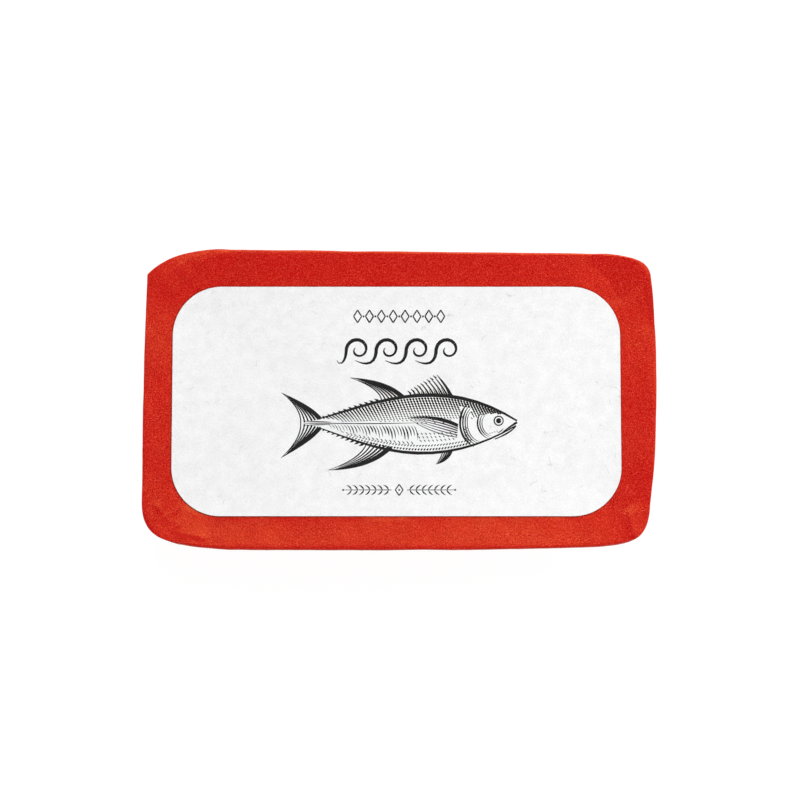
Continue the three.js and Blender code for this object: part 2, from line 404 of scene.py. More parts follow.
def wrapped_rows():
    """The skin with its folds: each point moves along its normal by the creases near it and by slow
    ups and downs, and stays where the label covers it. Under the tin it moves in by the base's step
    and by its bead, an exponential of the squared distance from a rounded rectangle."""
    grid = wrap_rows()
    normals = normals_of(grid)
    x, y, z = grid[..., 0], grid[..., 1], grid[..., 2]
    bare = smooth(0.0, LABEL_GRIP, outside_label(x, y))
    upper = normals[..., 2] > 0
    bare = np.where(upper, bare, 1.0) * smooth(*FOOT_CALM, z)
    height = wander(grid, *SKIN_SWELL) + wander(grid, *SKIN_RIPPLE)
    height += smooth(*WALL_TOP, z) * wander(grid * WALL_STRETCH, *WALL_SWELL)
    for fold in TOP_CREASES + WALL_CREASES:
        height += crease(grid, normals, *fold)
    height *= bare
    under = smooth(*BASE_TURN, z) * (normals[..., 2] < -0.9)
    length, width = FOOT["length"] - BEAD["inset"], FOOT["width"] - BEAD["inset"]
    from_bead = outside(x, y, length, width, BEAD["corner"]) / BEAD["width"]
    height -= under * (BEAD["height"] * np.exp(-(from_bead**2)) + BASE_PLATE)
    height += under * wander(grid, *BASE_SWELL)
    return grid + normals * height[..., None]


def mesh_piece(name, points, faces, material, slot, nodes):
    """An object with a mesh of these points, in millimetres, and faces. Its edges are smooth, apart
    from those that turn sharply. It rides on the tin, and stands for the CAD nodes it is given."""
    mesh = bpy.data.meshes.new(name)
    mesh.from_pydata((np.asarray(points) * MM).tolist(), [], [list(face) for face in faces])
    mesh.validate()
    mesh.polygons.foreach_set("use_smooth", np.ones(len(mesh.polygons), bool))
    mesh.set_sharp_from_angle(angle=SHARP_EDGE)
    mesh.materials.append(material)
    piece = bpy.data.objects.new(name, mesh)
    bpy.context.scene.collection.objects.link(piece)
    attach(piece, BODY)
    if nodes:
        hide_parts(*nodes)
    return piece


def closed_rows(rows):
    """Points and faces of a closed skin over loops, with a point in the middle of the first and the
    last. Loops run anticlockwise seen from outside the first."""
    count = rows.shape[1]
    points = np.concatenate([rows.reshape(-1, 3), rows[:1].mean(1), rows[-1:].mean(1)])
    first, last = len(points) - 2, len(points) - 1
    here = np.arange(count)
    ahead = (here + 1) % count
    down = (np.arange(len(rows) - 1) * count)[:, None]
    quads = np.stack([down + here, down + count + here, down + count + ahead, down + ahead], -1)
    end = (len(rows) - 1) * count
    faces = quads.reshape(-1, 4).tolist()
    faces += np.stack([np.full(count, first), here, ahead], 1).tolist()
    faces += np.stack([np.full(count, last), end + ahead, end + here], 1).tolist()
    return points, faces


def paint_shadow_beside_label(piece):
    """A value at each point of the skin, for its material's painted contact shadow: 1 against the
    label's edge, fading over the shadow's width as the square of the distance in an exponential, and 0
    under the tin."""
    points = np.empty(len(piece.data.vertices) * 3)
    piece.data.vertices.foreach_get("co", points)
    x, y, z = points.reshape(-1, 3).T / MM
    away = outside_label(x, y) / LABEL_SHADOW_WIDTH
    value = np.exp(-np.maximum(away, 0) ** 2) * (z > HEIGHT / 2)
    piece.data.attributes.new("beside_label", "FLOAT", "POINT").data.foreach_set("value", value)


def closed_sheet(outer, inner):
    """Points and faces of a thin sheet between two grids, with a rim round it. Seen from outside,
    the grids' columns run to the right and their rows run down."""
    rows, columns = outer.shape[:2]
    points = np.concatenate([outer.reshape(-1, 3), inner.reshape(-1, 3)])
    index = np.arange(rows * columns).reshape(rows, columns)
    a, b, c, d = index[:-1, :-1], index[1:, :-1], index[1:, 1:], index[:-1, 1:]
    front = np.stack([a, b, c, d], -1).reshape(-1, 4)
    back = front[:, ::-1] + rows * columns
    rim = np.concatenate([index[:-1, 0], index[-1, :-1], index[:0:-1, -1], index[0, :0:-1]])
    ahead = np.roll(rim, -1)
    side = np.stack([ahead, rim, rim + rows * columns, ahead + rows * columns], 1)
    return points, np.concatenate([front, back, side]).tolist()


def end_wall(grid, side):
    """The wall at one end as a table of X, over even steps of Y and Z: each row of the skin, from
    the turn down to the foot, is read at the Y steps, and then each column at the Z steps."""
    around = SIDE_STEPS + CORNER_STEPS
    reach = CORNER_STEPS * 2 // 3
    start = 0 if side > 0 else 2 * around
    columns = np.arange(start - reach, start + SIDE_STEPS + reach) % grid.shape[1]
    first = DISH_ROWS + BAND_ROWS + 1
    rows = grid[first : first + ROUND_ROWS + WALL_ROWS + FOOT_ROWS - 5, columns]
    if side < 0:
        rows = rows[:, ::-1]
    x_rows = np.array([np.interp(WALL_Y, row[:, 1], row[:, 0]) for row in rows])
    z_rows = np.array([np.interp(WALL_Y, row[:, 1], row[:, 2]) for row in rows])
    table = [np.interp(WALL_Z, z_rows[::-1, k], x_rows[::-1, k]) for k in range(len(WALL_Y))]
    return np.array(table)


def read_wall(table, y, z):
    """The end wall's X at each Y and Z, evened out between the four steps around it."""
    fy = np.interp(y, WALL_Y, np.arange(len(WALL_Y)))
    fz = np.interp(z, WALL_Z, np.arange(len(WALL_Z)))
    iy = np.minimum(fy.astype(int), len(WALL_Y) - 2)
    iz = np.minimum(fz.astype(int), len(WALL_Z) - 2)
    ty, tz = fy - iy, fz - iz
    low = table[iy, iz] * (1 - tz) + table[iy, iz + 1] * tz
    high = table[iy + 1, iz] * (1 - tz) + table[iy + 1, iz + 1] * tz
    return low * (1 - ty) + high * ty


def flap(wall, side, near, far, z_of_row, lift):
    """A flap on an end wall. Each of its rows runs at one height, from the near edge to the far one.
    It stands off the wall by lift, which is a rule of the share across, the share down and Y."""
    across = np.linspace(0, 1, FLAP_COLUMNS)[None, :]
    down = np.linspace(0, 1, len(z_of_row))[:, None]
    z = np.broadcast_to(z_of_row[:, None], (len(z_of_row), FLAP_COLUMNS))
    y = near[:, None] * (1 - across) + far[:, None] * across
    x = read_wall(wall, y, z)
    stand = lift(across, down, y)
    inner = np.stack([x + side * stand, y, z], -1)
    outer = np.stack([x + side * (stand + PAPER), y, z], -1)
    if side < 0:
        inner, outer = inner[:, ::-1], outer[:, ::-1]
    return closed_sheet(outer, inner)


def free_edges(across):
    """How much a flap springs at each share of the way across it: an exponential fall from both of
    its free edges."""
    return np.exp(-across * SPRING_FALL) + np.exp(-(1 - across) * SPRING_FALL)


def top_flap(wall, side):
    """The upper flap hangs from the turn and narrows at 45 degrees from its two shoulders. It starts
    inside the paper, and its free edges spring off the wall. The left one's near shoulder stands
    proud as well."""
    near, far = TOP_FLAP["right" if side > 0 else "left"]
    shoulder, lowest = TOP_FLAP["shoulder"], TOP_FLAP["lowest"]
    straight = np.linspace(TOP_FLAP_START, shoulder, 7)
    z = np.concatenate([straight, np.linspace(shoulder, lowest, FLAP_ROWS)[1:]])
    inset = np.maximum(shoulder - z, 0)

    def lift(across, down, y):
        edge = free_edges(across)
        proud = smooth(*PROUD_FAR, y) * smooth(*PROUD_NEAR, y) if side < 0 else 0
        proud = proud * (PROUD_LEAST + PROUD_MORE * smooth(*PROUD_RISE, y))
        off = UPPER_STAND + SPRING * edge * smooth(0.1, 0.3, down) + LOW_EDGE_SPRING * down**8
        return smooth(0.0, 0.3, down) * (HIDDEN + off) - HIDDEN + proud * edge

    return flap(wall, side, near + inset, far - inset, z, lift)


def bottom_flap(wall, side):
    """The lower flap comes up from the foot, under the upper one, and narrows at 45 degrees."""
    half, lowest, highest = (BOTTOM_FLAP[key] for key in ("half", "lowest", "highest"))
    z = np.linspace(highest, lowest, FLAP_ROWS)
    edge_y = half - (z - lowest)

    def lift(across, down, y):
        off = LOWER_STAND + SPRING * free_edges(across) * smooth(0.4, 0.6, down)
        return smooth(1.0, 0.75, down) * (HIDDEN + off) - HIDDEN

    return flap(wall, side, -edge_y, edge_y, z, lift)


def base_lap():
    """The lap along the base: a doubled edge of the sheet that stands out under the tin at its near
    side, and merges with the base at its far side and at its two ends."""
    near, far, half, merge = (LAP[key] for key in ("near", "far", "half", "merge"))
    x = np.linspace(-half, half, LAP_STEPS[0])[:, None]
    y = np.linspace(near, far, LAP_STEPS[1])[None, :]
    x, y = np.broadcast_arrays(x, y)
    place = np.stack([x, y], -1)
    y = y + wander(place, *LAP_EDGE_SWELL) * smooth(far, near, y)
    share = smooth(far, 0, y) * smooth(half, half - merge, np.abs(x))
    ripple = np.clip(wander(place, *LAP_RIPPLE), -0.03, 0.03)
    hidden = LAYER + LAP_HIDDEN
    low = hidden - (hidden - LAP_FLOOR + ripple) * share
    outer = np.stack([x, y, low], -1)
    inner = np.stack([x, y, low + LAP_THICKNESS], -1)
    return closed_sheet(outer, inner)


def label_sheet():
    """The label: rings of its own shape from the middle to the edge, lying on the paper's face, out
    over the top and back underneath."""
    edge = label_edge()
    middle = np.array(LABEL["middle"])
    upper_shares = [*np.linspace(0.04, 0.995, 44), 1.0]
    lower_shares = [1.0, 0.9, 0.5, 0.1]
    rows = []
    for shares, rise in ((upper_shares, LABEL_TOP), (lower_shares, LABEL_BOTTOM)):
        for share in shares:
            loop = middle + (edge - middle) * share
            z = paper_height(loop[:, 0], loop[:, 1]) + rise
            rows.append(np.column_stack([loop, z]))
    return closed_rows(np.array(rows)[:, ::2])


# The print. Ink stands a little proud of the label, and its strokes reach down into it.
INK_TOP = 0.014
INK_BOTTOM = -0.012
STROKE_STEPS = 15
TICK_STEPS = 6
THIN_END = 0.02
SWELL = 0.6


def ink(paths, widths):
    """Points and faces of printed strokes. Each is a flat ribbon of four-sided section along its
    path: two edges half its width away, each with a point over and one under the label's face."""
    step = np.gradient(paths, axis=1)
    step /= np.maximum(np.linalg.norm(step, axis=2, keepdims=True), 1e-9)
    out = np.stack([step[..., 1], -step[..., 0]], -1) * widths[..., None] / 2
    rails = (
        (paths + out, INK_BOTTOM),
        (paths + out, INK_TOP),
        (paths - out, INK_TOP),
        (paths - out, INK_BOTTOM),
    )
    points = []
    for rail, rise in rails:
        z = paper_height(rail[..., 0], rail[..., 1]) + LABEL_TOP + rise
        points.append(np.concatenate([rail, z[..., None]], -1))
    points = np.stack(points, 2)
    strokes, steps = paths.shape[:2]
    index = np.arange(strokes * steps * 4).reshape(strokes, steps, 4)
    here, ahead = index[:, :-1], index[:, 1:]
    faces = []
    for k in range(4):
        n = (k + 1) % 4
        quads = np.stack([here[..., k], ahead[..., k], ahead[..., n], here[..., n]], -1)
        faces.append(quads.reshape(-1, 4))
    faces += [index[:, 0], index[:, -1, ::-1]]
    return points.reshape(-1, 3), np.concatenate(faces)


class Print:
    """Strokes gathered for one printed piece: long ones, and short ticks that have fewer points."""

    def __init__(self, middle):
        self.middle = np.array(middle, float)
        self.groups = {STROKE_STEPS: ([], []), TICK_STEPS: ([], [])}

    def stroke(self, path, width):
        """One stroke along a path of points. Its width, in millimetres, is one number, which swells
        from thin ends by a power of a sine, or a list along the path."""
        path = np.array(path, float)
        run = np.append(0, np.cumsum(np.linalg.norm(np.diff(path, axis=0), axis=1)))
        at = np.linspace(0, run[-1], STROKE_STEPS)
        even = np.stack([np.interp(at, run, path[:, k]) for k in (0, 1)], 1)
        share = np.linspace(0, 1, STROKE_STEPS)
        if np.isscalar(width):
            widths = THIN_END + (width - THIN_END) * np.sin(share * math.pi) ** SWELL
        else:
            widths = np.interp(share, np.linspace(0, 1, len(width)), width)
        paths, all_widths = self.groups[STROKE_STEPS]
        paths.append(even + self.middle)
        all_widths.append(widths)

    def curve(self, controls, width):
        """A stroke along a Bezier curve of any degree."""
        self.stroke(whole_bezier(controls, 40), width)

    def ticks(self, starts, ends, bend, widths):
        """Many short strokes at once, from starts to ends, bowed to one side by a share of their
        length."""
        share = np.linspace(0, 1, TICK_STEPS)[None, :, None]
        line = ends - starts
        bow = np.stack([line[:, 1], -line[:, 0]], 1)[:, None] * bend * np.sin(share * math.pi)
        paths, all_widths = self.groups[TICK_STEPS]
        paths.extend(starts[:, None] + line[:, None] * share + bow + self.middle)
        swell = np.sin(share[..., 0] * math.pi) ** SWELL
        all_widths.extend(THIN_END + swell * (widths[:, None] - THIN_END))

    def piece(self, name, material):
        """The printed piece, with the ribbons of both kinds of stroke in one mesh."""
        points, faces, count = [], [], 0
        for paths, widths in self.groups.values():
            if paths:
                some_points, some_faces = ink(np.array(paths), np.array(widths))
                points.append(some_points)
                faces += (some_faces + count).tolist()
                count += len(some_points)
        return mesh_piece(name, np.concatenate(points), faces, material, None, ())


# The fish, in millimetres from the middle of its picture
BACK = [(-17.0, 0.8), (-5.5, 3.9), (8.3, 10.5), (24.4, 0.5)]
BELLY = [(-17.0, -0.8), (-7.0, -4.2), (6.0, -11.2), (24.2, -0.5)]
SNOUT = (24.4, 0.2)
EYE = (20.6, 0.5)
SCALE_STEP = 0.62

# The fins: root and bend of the front edge, root and bend of the rear edge, the tip where both meet,
# the number of gaps that the rays make, and the strokes' width. In turn they are the two halves of
# the tail, the fins on the back and under the belly behind the middle, the breast fin and the small
# belly fin.
FINS = [
    ((-16.2, 0.9), (-18.6, 3.4), (-20.4, 0), (-20.2, 3.2), (-24.4, 6.3), 6, 0.28),
    ((-16.2, -0.9), (-18.6, -3.6), (-20.4, 0), (-20.2, -3.4), (-24.5, -7.2), 6, 0.28),
    ((1.2, 5.2), (-2.8, 8.8), (-3.6, 3.9), (-3.2, 7.2), (-10.2, 9.4), 6, 0.28),
    ((-1.6, -5.0), (-6.4, -9.4), (-6.6, -3.8), (-7.6, -7.4), (-14.7, -9.7), 6, 0.28),
    ((12.2, -0.4), (7.6, 1.9), (12.0, -2.9), (6.6, -2.2), (1.8, 1.1), 6, 0.2),
    ((10.9, -5.6), (9.8, -7.9), (9.0, -5.8), (8.8, -7.2), (7.6, -8.5), 4, 0.24),
]


def body_place(x, level):
    """A place on the fish's side. Level is 1 on the back, 0 along the middle and -1 on the belly."""
    back, belly = whole_bezier(BACK), whole_bezier(BELLY)
    top = np.interp(x, back[:, 0], back[:, 1])
    bottom = np.interp(x, belly[:, 0], belly[:, 1])
    middle = top * 0.5 + bottom * 0.5
    edge = np.where(level > 0, top, bottom)
    return np.stack([x, middle + np.abs(level) * (edge - middle)], -1)


def row_of_ticks(picture, x, level, run, drop, bend, width):
    """Ticks on the fish's side that start at these places along it, at one level or at one each.
    Each runs on by so many millimetres and drops by so much of the level. They get thinner where the
    body does, towards the tail."""
    level = np.broadcast_to(level, x.shape)
    width = width * (0.45 + 0.55 * smooth(-16, -4, x))
    picture.ticks(body_place(x, level), body_place(x + run, level - drop), bend, width)


def fin(picture, front_root, front_bend, rear_root, rear_bend, tip, gaps, width):
    """A fin between two edges that meet at its tip: its front edge is a heavy stroke, its rear edge
    a light one, and rays run between them, each a blend of the two."""
    front = whole_bezier([front_root, front_bend, tip])
    rear = whole_bezier([rear_root, rear_bend, tip])
    picture.stroke(front, [width * 2.2, width * 2.8, width * 2.2, width * 1.2, 0.08])
    picture.stroke(rear, [width * 0.8, width, width * 0.8, 0.05])
    for share in np.arange(1, gaps) / gaps:
        blend = front + (rear - front) * share**1.15
        stop = int(len(blend) * (1 - 0.2 * share))
        weight = width * (1.6 - 0.6 * share)
        picture.stroke(blend[:stop], [weight, weight * 0.9, weight * 0.6, 0.04])


def spiny_fin(picture):
    """The fin on the back, a row of slanted spines that get shorter to the rear. Each ends in a
    barb, which makes the fin's rear edge a saw."""
    spines = 10
    tips = np.linspace((7.8, 10.0), (1.9, 6.4), spines)
    roots = body_place(np.linspace(11.0, 2.4, spines), np.full(spines, 1.0))
    picture.curve([roots[0], (9.4, 8.2), tips[0]], [0.5, 0.5, 0.42, 0.12])
    for before, tip, root in zip(tips, tips[1:], roots[1:]):
        control = (tip + root) / 2 + (0.3, 0.2)
        barb = tip + (-0.15, 0.3)
        picture.curve([root, control, barb], [0.4, 0.34, 0.26, 0.1])
        picture.curve([(before + tip) / 2 + (0.35, -0.35), tip + (0.25, -0.15), barb], 0.24)
        between = root + (0.45, 0.0)
        picture.curve([between, between + (control - root) * 0.9], [0.32, 0.06])


def finlets(picture):
    """Small pointed fins between the tail and the fins before it, each a filled hook."""
    for side, start, count in ((1, -4.4, 11), (-1, -7.6, 9)):
        feet = body_place(np.linspace(start, -15.6, count), np.full(count, float(side)))
        for foot, size in zip(feet, np.linspace(1.0, 0.5, count)):
            front = foot + (0.4 * size, 0)
            bend = foot + (0, 0.3 * size * side)
            tip = foot + (-0.75 * size, 0.6 * size * side)
            picture.curve([front, bend, tip], [0.4, 0.5 * size, 0.08])


def fish_scales(picture):
    """Rows of short curved strokes: heavy and close under the back, lighter down to the middle, and
    again along the belly. Every second row is shifted by half a step."""
    for row, level in enumerate(np.linspace(0.93, 0.26, 9)):
        x = np.arange(-15.8 + 0.5 * row, 22.2, SCALE_STEP) + (row % 2) * SCALE_STEP / 2
        on_gill_cover = (x > 12.3 + 0.1 * row) & (x < 14.8) & (row > 2)
        x = x[(x < 21.2 - 0.75 * row) & ~on_gill_cover]
        width = 0.2 + 0.26 * smooth(0.25, 0.9, level)
        row_of_ticks(picture, x, level, 0.42, 0.065, 0.22, width)
    for row, level in enumerate((-0.92, -0.79)):
        x = np.arange(-11.0, 15.0, SCALE_STEP) + (row % 2) * SCALE_STEP / 2
        row_of_ticks(picture, x, level, 0.4, -0.07, -0.2, 0.32 - 0.08 * row)
    for level, first, last in ((0.16, -4.0, 11.0), (0.06, 3.6, 11.4)):
        x = np.arange(first, last, 0.9)
        row_of_ticks(picture, x, level, 0.42, 0.03, 0.1, 0.18)


def fish_flank(picture):
    """The line along the side, and slanted strokes under it, long at the rear and short in front."""
    x = np.linspace(-15.4, 3.2, 40)
    picture.stroke(body_place(x, np.full(40, 0.05)), [0.16, 0.2, 0.2, 0.06])
    x = np.arange(-14.8, 3.4, 0.66)
    reach = 0.46 + 0.1 * np.sin(x * 2.3) + 0.12 * smooth(-6, -14, x)
    row_of_ticks(picture, x, -0.03, 0.85, reach, -0.08, 0.26 + 0.07 * np.sin(x * 1.7))
    x = np.arange(-12.0, 3.0, 0.9)
    row_of_ticks(picture, x, -0.6, 0.5, 0.12, -0.08, 0.2)
    for row, level in enumerate((-0.3, -0.42, -0.54)):
        x = np.arange(3.6 + 0.3 * row, 11.6, 0.85)
        row_of_ticks(picture, x, level, 0.42, 0.08, -0.1, 0.2)


def gill_and_cheek(picture):
    """The gill cover and the cheek, each of curved lines side by side, which get shorter and thinner
    forwards, and a few ticks on the gill cover."""
    for shift, width in ((0.0, 0.46), (0.68, 0.32), (1.24, 0.25), (1.76, 0.18)):
        top = (14.3 + shift * 0.4, 4.3 - shift)
        bottom = (15.5 + shift * 0.6, -4.9 + shift * 0.65)
        line = [top, (11.6 + shift, 1.4), (12.2 + shift, -3.2), bottom]
        picture.curve(line, [0.1, width, width * 0.9, width, 0.08])
    for shift, width in ((0.0, 0.34), (0.54, 0.24), (1.02, 0.18)):
        top = (17.2 + shift * 0.6, 2.6 - shift)
        bottom = (18.4 + shift * 0.6, -3.2 + shift * 0.6)
        line = [top, (15.7 + shift, 0.8), (15.8 + shift, -1.9), bottom]
        picture.curve(line, [0.06, width, width, 0.06])
    heights = np.linspace(-3.4, -0.6, 7)
    starts = np.stack([13.3 + 0.2 * np.abs(heights + 1.4), heights], -1)
    picture.ticks(starts, starts + (0.9, -0.5), 0.1, np.full(7, 0.18))


def eye_and_mouth(picture):
    """The eye, a ring round a filled pupil, the mouth's two lips and the lines under it."""
    turn = np.linspace(0, 2 * math.pi, 40)
    circle = np.stack([np.cos(turn), np.sin(turn)], 1)
    picture.stroke(circle * 0.95 + EYE, [0.24, 0.3, 0.24])
    picture.stroke(circle * 0.28 + EYE, [0.56, 0.56])
    picture.curve([SNOUT, (23.0, -0.7), (21.3, -1.9)], [0.5, 0.36, 0.08])
    picture.curve([(24.2, -0.5), (23.3, -1.9), (19.8, -3.3)], [0.24, 0.34, 0.2])
    picture.curve([(21.6, -1.1), (20.9, -1.9), (20.3, -2.0)], 0.2)
    x = np.arange(17.6, 20.4, 0.5)
    row_of_ticks(picture, x, -0.62, 0.34, 0.08, -0.1, 0.14)


def fish_picture():
    """A tuna in an engraver's manner, swimming to the right, of a few hundred swelling strokes."""
    picture = Print((0.0, -4.8))
    picture.stroke(whole_bezier(BACK), [0.24, 0.5, 0.6, 0.68, 0.8, 0.74, 0.6, 0.36])
    picture.stroke(whole_bezier(BELLY), [0.2, 0.36, 0.56, 0.66, 0.54, 0.4, 0.26])
    for y in (0.34, 0, -0.34):
        picture.curve([(-20.0, y * 1.3), (-17.0, y), (-14.0, y * 0.6)], 0.2)
    for shape in FINS:
        fin(picture, *shape)
    spiny_fin(picture)
    finlets(picture)
    fish_scales(picture)
    fish_flank(picture)
    gill_and_cheek(picture)
    eye_and_mouth(picture)
    return picture


def lozenge(picture, x, y, half_width, half_height, width):
    """An open lozenge of four strokes."""
    corners = [(x + half_width, y), (x, y + half_height), (x - half_width, y), (x, y - half_height)]
    for start, end in zip(corners, corners[1:] + corners[:1]):
        picture.stroke([start, end], [width, width])


def dot(picture, x, y, size):
    """A round dot: a stroke that goes once round a circle half as wide as it."""
    turn = np.linspace(0, 2 * math.pi, 24)
    path = np.stack([x + np.cos(turn) * size / 4, y + np.sin(turn) * size / 4], 1)
    picture.stroke(path, [size / 2 * 1.04] * 2)


def upper_row():
    """A row of open lozenges with dots between them."""
    picture = Print((0.0, 17.3))
    places = np.linspace(-8.6, 8.6, 8)
    for x in places:
        lozenge(picture, x, 0, 0.82, 1.3, 0.27)
    for x in (places[1:] + places[:-1]) / 2:
        dot(picture, x, 0, 0.42)
    return picture


def wave_row():
    """Four running waves: each rises from under the one before it in a swelling stroke and curls
    over into a spiral, which narrows evenly as it turns."""
    picture = Print((0.0, 10.1))
    waves, span = 4, 6.2
    for crest in range(waves):
        left = (crest - waves / 2) * span
        angle = np.linspace(math.pi * 0.98, -math.pi * 1.2, 90)
        radius = np.linspace(2.45, 0.7, 90)
        curl = np.stack([np.cos(angle), np.sin(angle)], 1) * radius[:, None] + (left + 3.9, 0.3)
        start = left - (2.9 if crest else 0.5)
        trough, slope = (left + 0.2, -3.5), (left + 1.45, -2.0)
        rise = whole_bezier([(start, -1.9), trough, slope, tuple(curl[0])], 30)
        path = np.concatenate([rise, curl[1:]])
        half = len(path) // 2
        picture.stroke(path[: half + 1], [0.1, 0.5, 0.72, 0.75, 0.66])
        picture.stroke(path[half:], [0.66, 0.5, 0.42, 0.5, 0.12])
    return picture


def lower_row():
    """A sprig laid flat: two thin stems with pairs of leaves, either side of a lozenge."""
    picture = Print((0.0, -18.6))
    lozenge(picture, 0, 0, 0.8, 1.15, 0.24)
    dot(picture, 0, 0, 0.4)
    leaf_pairs, leaf_step = 7, 1.28
    for side in (-1, 1):
        picture.stroke([(side * 1.6, 0), (side * 11.4, 0)], [0.15, 0.15, 0.12])
        for k in range(leaf_pairs):
            x = side * (2.2 + leaf_step * k)
            for up in (-1, 1):
                tip = (x + side * 1.05, up * 1.02)
                picture.curve([(x, 0), (x + side * 0.25, up * 0.75), tip], [0.1, 0.32, 0.24, 0.05])
        dot(picture, side * 11.6, 0, 0.42)
    return picture


# Materials


def new_material(name):
    """A material with its node tree and its shader."""
    material = bpy.data.materials.new(name)
    material.use_nodes = True
    tree = material.node_tree
    shader = tree.nodes["Principled BSDF"]
    return material, tree, shader


def node(tree, kind, **values):
    """A node with its properties and its inputs set by name. A property is given in small letters,
    and an input with its own capitals, an underscore standing for a space."""
    made = tree.nodes.new(kind)
    for key, value in values.items():
        if key[0].isupper():
            made.inputs[key.replace("_", " ")].default_value = value
        else:
            setattr(made, key, value)
    return made


def place_of(tree, shift=(0, 0, 0)):
    """Object coordinates, shifted so that two patterns don't fall together."""
    source = node(tree, "ShaderNodeTexCoord")
    mapping = node(tree, "ShaderNodeMapping", Location=shift)
    tree.links.new(source.outputs["Object"], mapping.inputs["Vector"])
    return mapping.outputs["Vector"]


def noise(tree, place, size, detail=2.0, roughness=0.5):
    """Noise whose lumps are about this many millimetres across."""
    made = node(tree, "ShaderNodeTexNoise", Scale=1 / (size * MM), Detail=detail, Roughness=roughness)
    tree.links.new(place, made.inputs["Vector"])
    return made.outputs["Fac"]


def spread(tree, value, low, high, to_low, to_high):
    """The value carried from one range to another, and held inside it."""
    made = node(
        tree, "ShaderNodeMapRange",
        From_Min=low, From_Max=high, To_Min=to_low, To_Max=to_high,
    )
    tree.links.new(value, made.inputs["Value"])
    return made.outputs["Result"]


def math_node(tree, operation, first, second):
    """The result of a sum, product or other operation on two values or sockets."""
    made = node(tree, "ShaderNodeMath", operation=operation)
    for socket, value in zip(made.inputs, (first, second)):
        if isinstance(value, (int, float)):
            socket.default_value = value
        else:
            tree.links.new(value, socket)
    return made.outputs["Value"]


def mix_colour(tree, factor, first, second):
    """A blend of two colours, given as three numbers or as a socket, by a factor's socket."""
    made = node(tree, "ShaderNodeMix", data_type="RGBA")
    tree.links.new(factor, made.inputs["Factor"])
    for name, value in (("A", first), ("B", second)):
        socket = next(s for s in made.inputs if s.name == name and s.type == "RGBA")
        if isinstance(value, tuple):
            socket.default_value = (*value, 1.0)
        else:
            tree.links.new(value, socket)
    return next(s for s in made.outputs if s.type == "RGBA")


def bump(tree, shader, height, distance):
    """Fine relief of this many millimetres in the shader, after a pattern's height."""
    made = node(tree, "ShaderNodeBump", Strength=1.0, Distance=distance * MM)
    tree.links.new(height, made.inputs["Height"])
    tree.links.new(made.outputs["Normal"], shader.inputs["Normal"])


def red_pearl_paper():
    """Red paper with a pearl finish: grains of darker red and bright glints of orange over soft
    clouds, a fine tooth, and a golden sheen that is the same all over. A contact shadow is painted
    into its colour against the label's edge."""
    deep_red = (0.545, 0.001, 0.0044)
    clear_red = (0.595, 0.0014, 0.005)
    grain_red = (0.4, 0.0006, 0.003)
    glint_orange = (0.8, 0.05, 0.04)
    # painted contact shadow beside the label
    label_shadow_red = (0.16, 0.003, 0.003)

    material, tree, shader = new_material("red pearl paper")
    place = place_of(tree)
    grain = noise(tree, place, 0.23, 2.0, 0.6)
    glint = noise(tree, place_of(tree, (0.05, 0.21, 0.13)), 0.22, 1.0, 0.5)
    clouds = noise(tree, place_of(tree, (0.3, 0.1, 0.2)), 6.0, 3.0, 0.5)
    base = mix_colour(tree, spread(tree, clouds, 0.35, 0.65, 0, 1), deep_red, clear_red)
    dark = mix_colour(tree, spread(tree, grain, 0.3, 0.5, 1.0, 0.0), base, grain_red)
    bright = mix_colour(tree, spread(tree, glint, 0.53, 0.7, 0.0, 1.0), dark, glint_orange)
    # Painted contact shadow: the colour is darkened towards a dark red right against the label's edge
    label_shadow = node(tree, "ShaderNodeAttribute", attribute_name="beside_label")
    shade = math_node(tree, "MULTIPLY", label_shadow.outputs["Fac"], 0.8)
    colour = mix_colour(tree, shade, bright, label_shadow_red)
    tree.links.new(colour, shader.inputs["Base Color"])
    tree.links.new(spread(tree, grain, 0.38, 0.62, 0.23, 0.44), shader.inputs["Roughness"])
    shader.inputs["IOR"].default_value = 1.7
    shader.inputs["Specular IOR Level"].default_value = 0.58
    shader.inputs["Specular Tint"].default_value = (1.0, 0.42, 0.11, 1.0)
    bump(tree, shader, glint, 0.045)
    return material


def stray_fibre(tree, shift, size, patch):
    """Thin lines where a noise crosses its middle value, kept only in scattered patches."""
    field = noise(tree, place_of(tree, shift), size, 1.0)
    off = math_node(tree, "ABSOLUTE", math_node(tree, "SUBTRACT", field, 0.5), 0.0)
    line = spread(tree, off, 0.004, 0.014, 1.0, 0.0)
    where = noise(tree, place_of(tree, shift[::-1]), patch, 1.0)
    return math_node(tree, "MULTIPLY", line, spread(tree, where, 0.66, 0.71, 0.0, 1.0))


